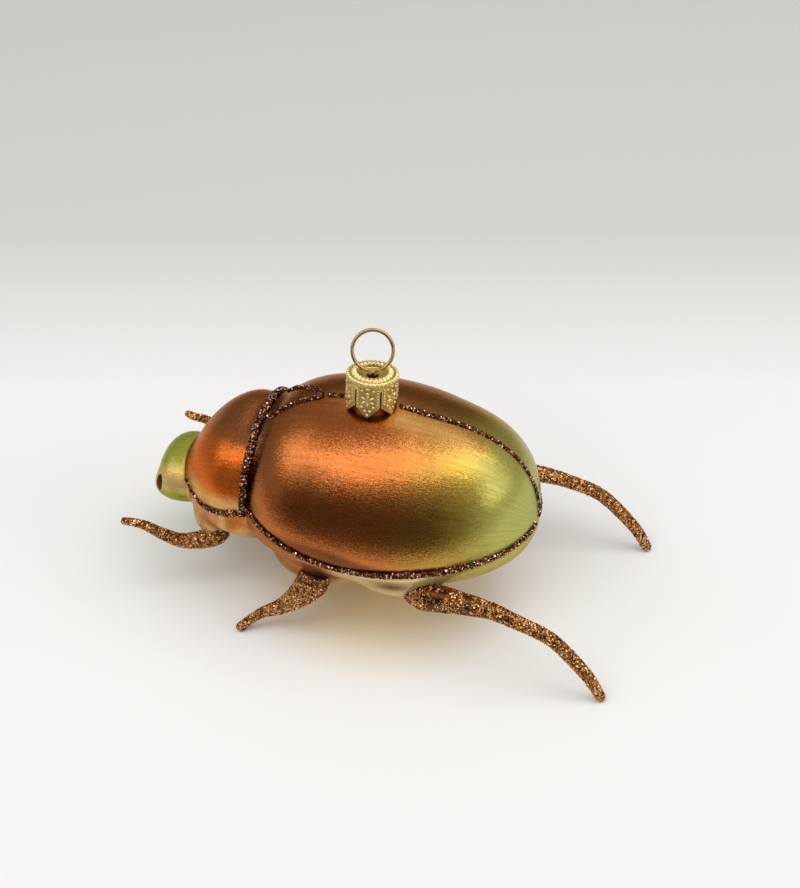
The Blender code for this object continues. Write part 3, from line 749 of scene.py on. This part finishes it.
def tube(path, radii, sides, lumps, rng):
    """A closed tube with an uneven surface."""
    angles = 2 * pi * np.arange(sides) / sides
    uneven = 1 + lumps * (rng.uniform(-1, 1, (len(path), sides)) + rng.uniform(-1, 1, (len(path), 1))) / 2
    reach = (radii[:, None] * uneven)[..., None]
    vertices = (path[:, None] + spokes(*across_path(path), angles) * reach).reshape(-1, 3)
    faces = ring_faces(len(path), sides)
    faces.append(tuple(reversed(range(sides))))
    faces.append(tuple(range((len(path) - 1) * sides, len(path) * sides)))
    return vertices, faces


def flakes_on(path, radii, density, size, tilt, rng):
    """Flakes strewn over a tube's skin, each one tipped at random, and the shade of each."""
    first, second = across_path(path)
    lengths = np.append(np.linalg.norm(np.diff(path, axis=0), axis=1), 0.0)
    area = 2 * pi * radii * lengths
    count = int(area.sum() * density)
    where = rng.choice(len(path), count, p=area / area.sum())
    share = rng.uniform(0, 1, count)[:, None]
    after = np.minimum(where + 1, len(path) - 1)
    middle = path[where] * (1 - share) + path[after] * share
    radius = radii[where] * (1 - share[:, 0]) + radii[after] * share[:, 0]
    angle = rng.uniform(0, 2 * pi, count)
    outward = first[where] * np.cos(angle)[:, None] + second[where] * np.sin(angle)[:, None]
    normal = outward + tilt * rng.normal(0, 1, (count, 3))
    normal /= np.linalg.norm(normal, axis=1)[:, None]
    centre = middle + outward * (radius + rng.uniform(0.0, 0.22, count) * size)[:, None]
    across = np.cross(normal, rng.normal(0, 1, (count, 3)))
    across /= np.linalg.norm(across, axis=1)[:, None]
    reach = size * rng.uniform(0.65, 1.15, count)
    corners = 2 * pi * np.arange(FLAKE_CORNERS) / FLAKE_CORNERS
    spread = spokes(across, np.cross(normal, across), corners)
    vertices = (centre[:, None] + spread * reach[:, None, None]).reshape(-1, 3)
    faces = [tuple(range(start, start + FLAKE_CORNERS)) for start in range(0, len(vertices), FLAKE_CORNERS)]
    return vertices, faces, rng.uniform(0, 1, count)


def build_glitter_piece(name, path, radii, material, slot, seed):
    """A lumpy tube of glue, all over flakes, in place of the CAD node of the same name."""
    density, size, tilt, lumps, sides = GLITTER[slot]
    rng = np.random.default_rng(seed)
    vertices, faces = tube(path, radii, sides, lumps, rng)
    flake_vertices, flake_faces, shades = flakes_on(path, radii, density, size, tilt, rng)
    table = {"shade": np.append(np.zeros(len(faces)), shades),
             "flake": np.append(np.zeros(len(faces)), np.ones(len(shades)))}
    faces += [tuple(len(vertices) + corner for corner in face) for face in flake_faces]
    vertices = np.vstack([vertices, flake_vertices])
    vertices[:, 2] = np.maximum(vertices[:, 2], LOWEST)
    add_piece(f"{name}_flakes", vertices, faces, material, name, face_attributes=table)


def leg_routes():
    """Each leg's name and its route, mirrored for the right side."""
    for leg, route in LEGS.items():
        mirrored = RIGHT_FORE_LEG if leg == "fore_leg" else route
        yield f"{leg}_left", route
        yield f"{leg}_right", [(-x, y, z, radius) for x, y, z, radius in mirrored]


def build_legs(material):
    """Six legs of glitter. The hind legs have a round root, because theirs shows."""
    for seed, (name, route) in enumerate(leg_routes(), 10):
        path = smooth_path(route, 8)
        middle, radii = round_ends(path[:, :3], path[:, 3], "hind" in name, True)
        build_glitter_piece(name, middle, radii, material, "leg_glitter", seed)


def fan(first, last, count):
    """Evenly spread angles, given in degrees, as radians."""
    return np.radians(np.linspace(first, last, count))


def level_rays(angles, centre_y, line):
    """Level rays from the beetle's middle plane to a seam that runs round the body."""
    zeros = np.zeros_like(angles)
    starts = np.stack([zeros, np.full_like(angles, centre_y), line_height(angles, line)], axis=-1)
    return starts, np.stack([np.sin(angles), np.cos(angles), zeros], axis=-1)


def suture_rays(angles):
    """Rays to the middle line of the back, fanned from inside the body towards the tail."""
    starts = np.tile(np.array(SUTURE_CENTRE), (len(angles), 1))
    return starts, np.stack([np.zeros_like(angles), np.sin(angles), np.cos(angles)], axis=-1)


def shield_rear_rays(angles):
    """Rays to the seam between the shield and the wing cases."""
    starts = np.tile(np.array(SHIELD_REAR_CENTRE), (len(angles), 1))
    return starts, np.stack([np.sin(angles), np.zeros_like(angles), np.cos(angles)], axis=-1)


def scutellum_rays():
    """Rays up to the two lines that meet in a point behind the shield."""
    route = smooth_path(SCUTELLUM_LINE, 16)
    starts = np.column_stack([route, np.full(len(route), SEAM_HEIGHT)])
    return starts, np.tile(np.array([0.0, 0.0, 1.0]), (len(route), 1))


def seam_lines():
    """Each raised line's name, with its rays, its radius at both ends and how far it stands off the glass."""
    lines = {
        "suture_glitter_front": (suture_rays(fan(-37.5, -32.5, 20)), 0.50, 0.50, 0.0),
        "suture_glitter_rear": (suture_rays(fan(-6.0, 84.0, 200)), 0.58, 0.44, 0.0),
        "pronotum_glitter": (shield_rear_rays(fan(-86.0, 86.0, 220)), 0.80, 0.80, 0.5),
        "scutellum_glitter": (scutellum_rays(), 0.54, 0.54, 0.0),
    }
    for side_name, side in (("left", 1), ("right", -1)):
        edge = level_rays(side * fan(2.4, 142.0, 240), 0.0, SEAM_LINE)
        rim = level_rays(side * fan(78.0, 143.0, 90), SHIELD_RIM_Y, RIM_LINE)
        lines[f"edge_glitter_{side_name}"] = (edge, 0.40, 0.36, 0.0)
        lines[f"pronotum_rim_glitter_{side_name}"] = (rim, 0.85, 0.22, 0.0)
    return lines


def build_seams(material):
    """The raised lines of dark glitter. The edge lines swell at the beetle's sides."""
    for seed, (name, (rays, start, end, lift)) in enumerate(seam_lines().items(), 40):
        path = surface_points(*rays, lift)
        radii = np.linspace(start, end, len(path))
        if name.startswith("edge"):
            radii += EDGE_SWELL * bell(np.linspace(0, 1, len(path)), EDGE_SWELL_PLACE, EDGE_SWELL_SHARE)
        path, radii = round_ends(path, radii, True, True)
        build_glitter_piece(name, path, radii, material, "seam_glitter", seed)


def pressed_pattern(across, height):
    """The pattern of a petal, from 0 to 1, at places across it and one height up from its tip."""
    pattern = np.zeros_like(across)

    def press(x, y, half_width, half_height, share=1.0, turn=0.0):
        """Adds a dome with an oval outline, turned by an angle in radians."""
        dx = (across - x) * cos(turn) + (height - y) * sin(turn)
        dy = (height - y) * cos(turn) - (across - x) * sin(turn)
        dome = np.clip(1 - (dx / half_width) ** 2 - (dy / half_height) ** 2, 0, 1) ** 0.6
        np.maximum(pattern, share * dome, out=pattern)

    for ray in range(STAR_RAYS):
        turn = 2 * pi * (ray + 0.5) / STAR_RAYS
        press(STAR_REACH * cos(turn), STAR_HEIGHT + STAR_REACH * sin(turn), *STAR_RAY_SIZE, 1.0, turn)
    for side in (-1, 1):
        for x, *dot in PRESSED_DOTS:
            press(side * x, *dot)
        for y in DASH_HEIGHTS:
            press(side * DASH_ACROSS, y, *DASH_SIZE, DASH_SHARE, side * DASH_TURN)
    return pattern


def cap_outline():
    """Radius and height up the cap from the petal tips into its dish, how far along each is, and outwards."""
    wall = [(CAP_RADIUS, height) for height in np.linspace(0.0, CAP_SHOULDER[0][1], WALL_ROWS)[:-1]]
    outline = np.vstack([np.array(wall), smooth_path(CAP_SHOULDER, 7)])
    lengths = np.append(0.0, np.cumsum(np.linalg.norm(np.diff(outline, axis=0), axis=1)))
    tangents = np.gradient(outline, axis=0)
    tangents /= np.linalg.norm(tangents, axis=1)[:, None]
    return outline, lengths, np.column_stack([tangents[:, 1], -tangents[:, 0]])


def cap_points(outline, lengths, outward, centre):
    """One petal's share of the cap, row by row, and how much of the full relief each of its points has."""
    full_half = pi / CAP_PETALS
    slit_half = full_half - SLIT_WIDTH / 2 / CAP_RADIUS
    shares = np.linspace(-1, 1, PETAL_COLUMNS + 1)
    bead_lengths = [lengths[np.argmin(np.hypot(*(outline - place).T))] for place, *_ in BEAD_RINGS]
    to_axis = np.array(Matrix.Rotation(-CAP_LEAN, 3, "Y"))
    points, reliefs = [], []
    for (radius, height), length, (out, up) in zip(outline, lengths, outward):
        half = slit_half if height < SLIT_TOP else full_half
        half *= min(max(height / PETAL_POINT, 0.02), 1.0)
        angles = centre + shares * half
        if height < PRESSED_TOP:
            across = shares * half * CAP_RADIUS
            inside = ramp(slit_half * CAP_RADIUS - np.abs(across), 0.15, 0.4)
            relief = PRESSED_RELIEF * pressed_pattern(across, height) * inside
        else:
            relief = np.zeros_like(angles)
            for bead_length, (_, half_width, depth, count) in zip(bead_lengths, BEAD_RINGS):
                beads = np.abs(np.cos(angles * count / 2)) ** 0.8
                relief += depth * bell(length, bead_length, half_width, 4) * beads
        reach = radius + PETAL_FLARE * max(0.0, 1 - height / PETAL_POINT) ** 2 + relief * out
        row = np.stack([reach * np.cos(angles), reach * np.sin(angles), height + relief * up], axis=-1)
        points.append(row @ to_axis.T + np.array(CAP_BASE))
        reliefs.append(relief / PRESSED_RELIEF)
    return np.vstack(points), np.concatenate(reliefs)


def build_cap(material):
    """Six pointed petals with pressed stars, two rings of beads and a dished top with a hole for the wire."""
    outline, lengths, outward = cap_outline()
    vertices, faces, reliefs = [], [], []
    columns = PETAL_COLUMNS + 1
    for petal in range(CAP_PETALS):
        centre = PETAL_TURN + 2 * pi * (petal + 0.5) / CAP_PETALS - pi / 2
        points, relief = cap_points(outline, lengths, outward, centre)
        for row in range(len(outline) - 1):
            low = petal * len(points) + row * columns
            faces += [(corner, corner + 1, corner + columns + 1, corner + columns)
                      for corner in range(low, low + PETAL_COLUMNS)]
        vertices.append(points)
        reliefs.append(relief)
    cap = add_piece("pressed_cap", np.vstack(vertices), faces, material, "cap",
                    {"relief": np.concatenate(reliefs)})
    bm = bmesh.new()
    bm.from_mesh(cap.data)
    bmesh.ops.remove_doubles(bm, verts=bm.verts, dist=CAP_WELD * MM)
    bm.to_mesh(cap.data)
    bm.free()
    cap.data.shade_smooth()
    sheet = cap.modifiers.new("sheet", "SOLIDIFY")
    sheet.thickness = CAP_WALL * MM
    sheet.offset = -1.0


def build_hanger(material):
    """The spring wire: up out of the neck, once round the ring, and down into the neck again."""
    axis = Vector((-sin(CAP_LEAN), 0, cos(CAP_LEAN)))
    lowest = CAP_BASE + axis * RING_LOWEST
    centre = lowest + RING_UP * RING_RADIUS
    ring = []
    for angle in np.linspace(-pi / 2 + RING_OPENING, 1.5 * pi - RING_OPENING, RING_POINTS):
        ring.append(centre + RING_RADIUS * (cos(angle) * RING_RIGHT + sin(angle) * RING_UP))

    def strand(side):
        """One leg of the wire, from the ring down into the neck."""
        return [lowest + axis * drop + RING_RIGHT * side * spread for spread, drop in WIRE_LEG]

    start = smooth_path([ring[0]] + strand(1), 5)[::-1]
    end = smooth_path([ring[-1]] + strand(-1), 5)
    path = np.vstack([start[:-1], np.array(ring), end[1:]])
    path, radii = round_ends(path, np.full(len(path), WIRE_RADIUS), True, True)
    vertices, faces = tube(path, radii, WIRE_SIDES, 0.0, np.random.default_rng(1))
    add_piece("ring_wire", vertices, faces, material, "wire_hanger")


def build_camera():
    """The photograph's view, with no shift and no depth of field."""
    data = bpy.data.cameras.new("camera")
    data.lens = CAMERA_LENS
    data.sensor_width = CAMERA_SENSOR
    camera = bpy.data.objects.new("camera", data)
    bpy.context.scene.collection.objects.link(camera)
    axes = Matrix((CAMERA_RIGHT, CAMERA_UP, -CAMERA_FORWARD)).transposed()
    camera.matrix_world = Matrix.Translation(CAMERA_PLACE * MM) @ axes.to_4x4()
    bpy.context.scene.camera = camera


def add_light(name, place, size, power, shade, roll):
    """A soft rectangular light that faces the ornament."""
    data = bpy.data.lights.new(name, "AREA")
    data.shape = "RECTANGLE"
    data.size, data.size_y = size
    data.energy = power
    data.color = shade
    light = bpy.data.objects.new(name, data)
    bpy.context.scene.collection.objects.link(light)
    light.location = place
    facing = (AIM - Vector(place)).to_track_quat("-Z", "Y")
    light.rotation_euler = (facing.to_matrix() @ Matrix.Rotation(radians(roll), 3, "Z")).to_euler()
    return light


def add_sheet(name, size, material):
    """A flat rectangle that belongs to the studio."""
    bm = bmesh.new()
    bmesh.ops.create_grid(bm, x_segments=1, y_segments=1, size=0.5)
    bmesh.ops.scale(bm, vec=(*size, 1.0), verts=bm.verts)
    mesh = bpy.data.meshes.new(name)
    bm.to_mesh(mesh)
    bm.free()
    mesh.materials.append(material)
    sheet = bpy.data.objects.new(name, mesh)
    bpy.context.scene.collection.objects.link(sheet)
    return sheet


def add_card(name, place, size, turn, shade):
    """A card that only glossy surfaces see, so that it shapes their reflections."""
    material, _, _ = new_material(name, Roughness=0.9, Base_Color=colour(shade, shade, shade))
    card = add_sheet(name, size, material)
    card.location = place
    card.rotation_euler = [radians(angle) for angle in turn]
    card.visible_camera = False
    card.visible_diffuse = False
    card.visible_shadow = False
    card.visible_transmission = False


def floor_material():
    """Matt white, with a little painted shade towards the far side and a painted warm glow from the belly
    under it.
    """
    material, tree, shader = new_material("pale_floor", Roughness=0.75)
    place = object_place(tree)
    white = mix_colours(tree, noise(tree, place, 6.0, 2.0), paint_shade("floor"), paint_shade("floor_patch"))
    away = node(tree, "ShaderNodeVectorMath", {0: place, 1: FAR_SIDE}, operation="DOT_PRODUCT")
    # Painted shade: the floor grows darker towards its far side.
    far = rescale(tree, away.outputs["Value"], *FAR_FADE, 0.0, 1.0)
    paper = mix_colours(tree, far, white, paint_shade("far_floor_shade"))
    # A painted warm glow in a pool under the belly.
    from_pool = vector_length(tree, vector_maths(tree, "SUBTRACT", place, PAINTED_GLOW_CENTRE))
    pool = rescale(tree, from_pool, *PAINTED_GLOW_FADE, 0.9, 0.0)
    drive(tree, shader, Base_Color=mix_colours(tree, pool, paper, paint_shade("painted_warm_glow")))
    return material


def build_studio():
    """A pale floor, wide lights overhead, a light at each end, a fill for the floor, and dark cards."""
    add_sheet("floor", FLOOR_SIZE, floor_material())
    for name, values in CARDS.items():
        add_card(name, *values)
    for name, values in LIGHTS.items():
        add_light(name, *values)
    fill = add_light("floor_fill", *FLOOR_FILL)
    fill.data.spread = FLOOR_FILL_SPREAD
    fill.visible_glossy = False
    world = bpy.data.worlds.new("studio")
    bpy.context.scene.world = world
    world.use_nodes = True
    background = world.node_tree.nodes["Background"]
    background.inputs["Color"].default_value = paint_shade("surroundings")
    background.inputs["Strength"].default_value = SURROUNDINGS_STRENGTH
    bpy.context.scene.view_settings.view_transform = "Standard"


build_camera()
build_body(lacquer_material())
build_legs(glitter_material("copper_glitter", COPPER_GLUE, COPPER_FLAKES))
build_seams(glitter_material("plum_glitter", PLUM_GLUE, PLUM_FLAKES))
build_cap(gold_material())
build_hanger(wire_material())
build_studio()
